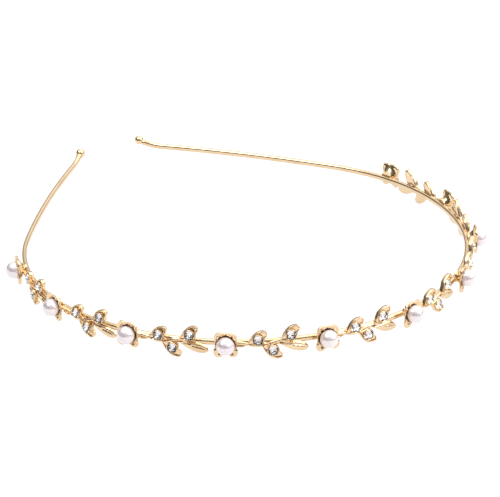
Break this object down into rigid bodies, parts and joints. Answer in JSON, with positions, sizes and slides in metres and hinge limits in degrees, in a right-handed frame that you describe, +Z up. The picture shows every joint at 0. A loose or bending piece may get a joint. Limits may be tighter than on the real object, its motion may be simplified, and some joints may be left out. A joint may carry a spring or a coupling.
{
  "type": "bridal tiara",
  "caption": "Slim gold headband tiara: a springy open bow with leafy sprigs, round pearls and clear rhinestones round its outer face and small ball tips on its ends.",
  "frame": {"origin": "centre of the base of the bounding box, the tiara lying flat as on a table", "axes": "+Z up, across the strip's height; +Y from the crown to the open ends; +X to the right seen from the crown"},
  "size_m": [0.1394, 0.1562, 0.009],
  "materials": {
    "strip_gold": "polished",
    "cast_gold": "polished",
    "pearl": "pearlescent",
    "crystal": "faceted"
  },
  "bodies": {
    "root": {"ball_tip_left": "cast_gold", "ball_tip_right": "cast_gold", "band_strip": "strip_gold", "end_calyx": "cast_gold", "pearl_01": "pearl", "pearl_02": "pearl", "pearl_03": "pearl", "pearl_04": "pearl", "pearl_05": "pearl", "pearl_06": "pearl", "pearl_07": "pearl", "pearl_08": "pearl", "pearl_09": "pearl", "pearl_10": "pearl", "rhinestone_1a": "crystal", "rhinestone_1b": "crystal", "rhinestone_1c": "crystal", "rhinestone_2a": "crystal", "rhinestone_2b": "crystal", "rhinestone_2c": "crystal", "rhinestone_3a": "crystal", "rhinestone_3b": "crystal", "rhinestone_3c": "crystal", "rhinestone_4a": "crystal", "rhinestone_4b": "crystal", "rhinestone_4c": "crystal", "rhinestone_5a": "crystal", "rhinestone_5b": "crystal", "rhinestone_5c": "crystal", "rhinestone_6a": "crystal", "rhinestone_6b": "crystal", "rhinestone_6c": "crystal", "rhinestone_7a": "crystal", "rhinestone_7b": "crystal", "rhinestone_7c": "crystal", "rhinestone_8a": "crystal", "rhinestone_8b": "crystal", "rhinestone_8c": "crystal", "rhinestone_9a": "crystal", "rhinestone_9b": "crystal", "rhinestone_9c": "crystal", "sprig_1": "cast_gold", "sprig_2": "cast_gold", "sprig_3": "cast_gold", "sprig_4": "cast_gold", "sprig_5": "cast_gold", "sprig_6": "cast_gold", "sprig_7": "cast_gold", "sprig_8": "cast_gold", "sprig_9": "cast_gold"}
  },
  "joints": []
}
